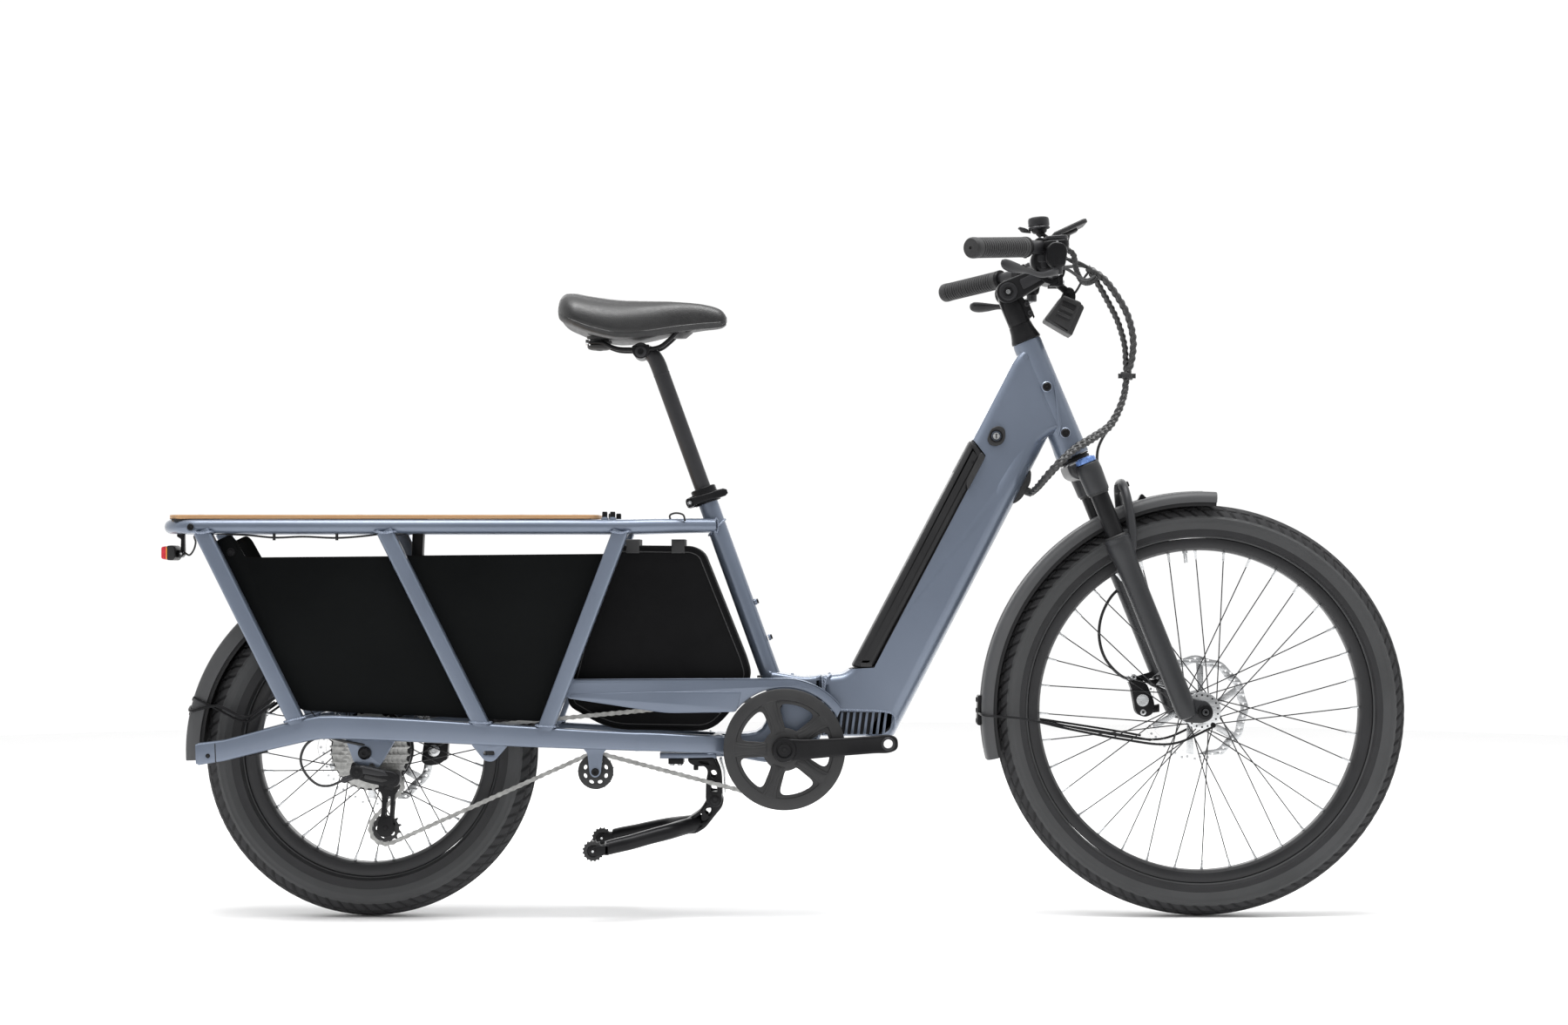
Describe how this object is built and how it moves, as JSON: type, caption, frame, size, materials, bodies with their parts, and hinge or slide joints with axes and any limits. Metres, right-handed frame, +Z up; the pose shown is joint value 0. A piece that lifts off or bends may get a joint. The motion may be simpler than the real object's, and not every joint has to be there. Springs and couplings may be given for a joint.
{
  "type": "cargo bicycle",
  "caption": "Longtail electric cargo bicycle with a step-through frame, rear deck with side panels, suspension fork and folded centre stand.",
  "frame": {"origin": "on the ground under the middle of the bicycle's bounding box", "axes": "+X to the front of the bicycle, +Y to the rider's left, +Z up"},
  "size_m": [2.0704, 0.6676, 1.1606],
  "materials": {
    "frame_paint": "metallic blue-grey lacquer, smooth satin",
    "fork_paint": "satin black magnesium",
    "black_alloy": "satin black anodised aluminium",
    "crank_alloy": "forged, matte black",
    "stand_alloy": "cast and drawn aluminium, black powder coat",
    "control_alloy": "dark grey cast and moulded controls",
    "rim_alloy": "black anodised, satin",
    "spoke_steel": "black spokes with silver nipples and black hub",
    "steel": "bright steel, lightly brushed",
    "chain_steel": "nickel-plated chain links",
    "battery_cover": "fine-grained black plastic",
    "panel": "deep black smooth sheet",
    "fender_plastic": "fine-grained dark grey plastic",
    "black_plastic": "moulded black plastic",
    "bag": "tight black woven nylon with piped seams",
    "leatherette": "soft-grained black leatherette",
    "plywood": "clear-coated birch plywood with visible plies at the edge",
    "rubber": "moulded rubber",
    "grip_rubber": "ribbed soft rubber",
    "tyre": "dark grey tyre rubber with block tread",
    "blue_cap": "blue anodised aluminium",
    "red_lens": "clear red lens in a black housing",
    "display_glass": "black glossy screen in a plastic case",
    "cable_sleeve": "black spiral and braided sleeve"
  },
  "bodies": {
    "root": {"front_frame": "frame_paint", "seat_frame": "frame_paint", "side_frame_right": "frame_paint", "side_frame_left": "frame_paint", "top_rail": "frame_paint", "deck": "plywood", "side_panel_right": "panel", "side_panel_left": "panel", "frame_bag": "bag", "chain_guard": "frame_paint", "rear_fender": "fender_plastic", "tail_light": "red_lens", "seat_clamp": "black_alloy", "rear_caliper": "black_alloy", "rear_derailleur": "black_alloy", "chain": "chain_steel"},
    "battery": {"battery": "battery_cover"},
    "key_lock": {"key_lock": "steel"},
    "steering": {"fork_crown": "fork_paint", "stem_base": "black_alloy", "cable_bundle": "cable_sleeve"},
    "preload_dial": {"preload_dial": "blue_cap"},
    "fork_lowers": {"fork_lowers": "fork_paint", "front_fender": "fender_plastic", "front_caliper": "black_alloy"},
    "front_wheel": {"front_hub_spokes": "spoke_steel", "front_rim": "rim_alloy", "front_tyre": "tyre", "front_rotor": "steel"},
    "rear_wheel": {"rear_hub_spokes": "spoke_steel", "rear_rim": "rim_alloy", "rear_tyre": "tyre", "rear_rotor": "steel"},
    "cassette": {"cassette": "steel"},
    "crankset": {"crank_right": "crank_alloy", "crank_left": "crank_alloy", "chainring": "crank_alloy"},
    "idler_pulley": {"idler_pulley": "black_plastic"},
    "jockey_upper": {"jockey_upper": "black_plastic"},
    "jockey_lower": {"jockey_lower": "black_plastic"},
    "kickstand": {"kickstand_legs": "stand_alloy"},
    "foot_roller_right": {"foot_roller_right": "rubber"},
    "foot_roller_left": {"foot_roller_left": "rubber"},
    "cockpit": {"stem_arm": "black_alloy", "handlebar": "black_alloy", "grip_right": "grip_rubber", "grip_left": "grip_rubber", "control_right": "control_alloy", "control_left": "control_alloy", "bell": "black_alloy"},
    "brake_lever_right": {"brake_lever_right": "black_alloy"},
    "brake_lever_left": {"brake_lever_left": "black_alloy"},
    "shift_lever": {"shift_lever": "black_plastic"},
    "display": {"display": "display_glass"},
    "bell_lever": {"bell_lever": "black_plastic"},
    "headlight": {"headlight": "black_plastic"},
    "saddle": {"seatpost": "black_alloy", "saddle_cushion": "leatherette", "saddle_shell": "black_plastic"},
    "quick_release_lever": {"quick_release_lever": "black_alloy"}
  },
  "joints": [
    {"name": "steering_turn", "type": "hinge", "parent": "root", "child": "steering", "pos_m": [0.4823, 0, 0.7661], "axis": [-0.3727, 0, 0.928], "range_deg": [-60, 60], "deforming": ["cable_bundle"]},
    {"name": "fork_travel", "type": "slide", "parent": "steering", "child": "fork_lowers", "axis": [-0.3727, 0, 0.928], "range_m": [0, 0.06], "stiffness_N_per_m": 9000, "springref_m": -0.035},
    {"name": "front_wheel_spin", "type": "hinge", "parent": "fork_lowers", "child": "front_wheel", "pos_m": [0.6927, 0, 0.3425], "axis": [0, 1, 0], "continuous": true},
    {"name": "rear_wheel_spin", "type": "hinge", "parent": "root", "child": "rear_wheel", "pos_m": [-0.6869, 0, 0.2765], "axis": [0, 1, 0], "continuous": true},
    {"name": "crank_spin", "type": "hinge", "parent": "root", "child": "crankset", "pos_m": [0.0006, 0, 0.2818], "axis": [0, 1, 0], "continuous": true},
    {"name": "cassette_spin", "type": "hinge", "parent": "root", "child": "cassette", "pos_m": [-0.6869, 0, 0.2765], "axis": [0, 1, 0], "continuous": true},
    {"name": "idler_spin", "type": "hinge", "parent": "root", "child": "idler_pulley", "pos_m": [-0.3098, 0, 0.2446], "axis": [0, 1, 0], "continuous": true},
    {"name": "jockey_upper_spin", "type": "hinge", "parent": "root", "child": "jockey_upper", "pos_m": [-0.65, 0, 0.224], "axis": [0, 1, 0], "continuous": true},
    {"name": "jockey_lower_spin", "type": "hinge", "parent": "root", "child": "jockey_lower", "pos_m": [-0.6557, 0, 0.1506], "axis": [0, 1, 0], "continuous": true},
    {"name": "kickstand_swing", "type": "hinge", "parent": "root", "child": "kickstand", "pos_m": [-0.1143, 0, 0.1946], "axis": [0, -1, 0], "range_deg": [0, 85]},
    {"name": "foot_roller_right_spin", "type": "hinge", "parent": "kickstand", "child": "foot_roller_right", "pos_m": [-0.311, 0, 0.1184], "axis": [0, 1, 0], "continuous": true},
    {"name": "foot_roller_left_spin", "type": "hinge", "parent": "kickstand", "child": "foot_roller_left", "pos_m": [-0.311, 0, 0.1184], "axis": [0, 1, 0], "continuous": true},
    {"name": "preload_turn", "type": "hinge", "parent": "steering", "child": "preload_dial", "pos_m": [0.4954, -0.062, 0.75843], "axis": [-0.3727, 0, 0.928], "range_deg": [0, 270]},
    {"name": "stem_angle", "type": "hinge", "parent": "steering", "child": "cockpit", "pos_m": [0.37274, 0, 1.03892], "axis": [0, -1, 0], "range_deg": [-10, 33], "deforming": ["cable_bundle"]},
    {"name": "brake_right_pull", "type": "hinge", "parent": "cockpit", "child": "brake_lever_right", "pos_m": [0.434, -0.206, 1.052], "axis": [0, 0, -1], "range_deg": [0, 10], "stiffness_Nm_per_rad": 1.2, "springref_deg": -8.59},
    {"name": "brake_left_pull", "type": "hinge", "parent": "cockpit", "child": "brake_lever_left", "pos_m": [0.434, 0.206, 1.052], "axis": [0, 0, 1], "range_deg": [0, 10], "stiffness_Nm_per_rad": 1.2, "springref_deg": -8.59},
    {"name": "shift_push", "type": "hinge", "parent": "cockpit", "child": "shift_lever", "pos_m": [0.414, -0.176, 1.054], "axis": [0, 0, 1], "range_deg": [0, 20], "stiffness_Nm_per_rad": 0.15, "springref_deg": -11.46},
    {"name": "display_tilt", "type": "hinge", "parent": "cockpit", "child": "display", "pos_m": [0.444, 0, 1.075], "axis": [0, -1, 0], "range_deg": [-10, 25]},
    {"name": "bell_ring", "type": "hinge", "parent": "cockpit", "child": "bell_lever", "pos_m": [0.413, -0.128, 1.1245], "axis": [0, 0, 1], "range_deg": [0, 25], "stiffness_Nm_per_rad": 0.05, "springref_deg": -11.46},
    {"name": "headlight_tilt", "type": "hinge", "parent": "cockpit", "child": "headlight", "pos_m": [0.476, 0, 1.04], "axis": [0, -1, 0], "range_deg": [-15, 15]},
    {"name": "battery_removal", "type": "slide", "parent": "root", "child": "battery", "axis": [-0.8851, 0, 0.4654], "range_m": [0, 0.1]},
    {"name": "key_turn", "type": "hinge", "parent": "root", "child": "key_lock", "pos_m": [0.3519, -0.038, 0.7984], "axis": [0, 1, 0], "range_deg": [0, 90]},
    {"name": "seatpost_height", "type": "slide", "parent": "root", "child": "saddle", "axis": [-0.34, 0, 0.9404], "range_m": [-0.14, 0.06]},
    {"name": "quick_release_swing", "type": "hinge", "parent": "root", "child": "quick_release_lever", "pos_m": [-0.15489, -0.027, 0.68712], "axis": [0.34, 0, -0.9404], "range_deg": [0, 150]}
  ],
  "couplings": [
    {"joint": "cassette_spin", "follows": "crank_spin", "ratio": 3.5},
    {"joint": "idler_spin", "follows": "crank_spin", "ratio": -2.8333},
    {"joint": "jockey_upper_spin", "follows": "crank_spin", "ratio": -3.7778},
    {"joint": "jockey_lower_spin", "follows": "crank_spin", "ratio": 3.2692}
  ]
}
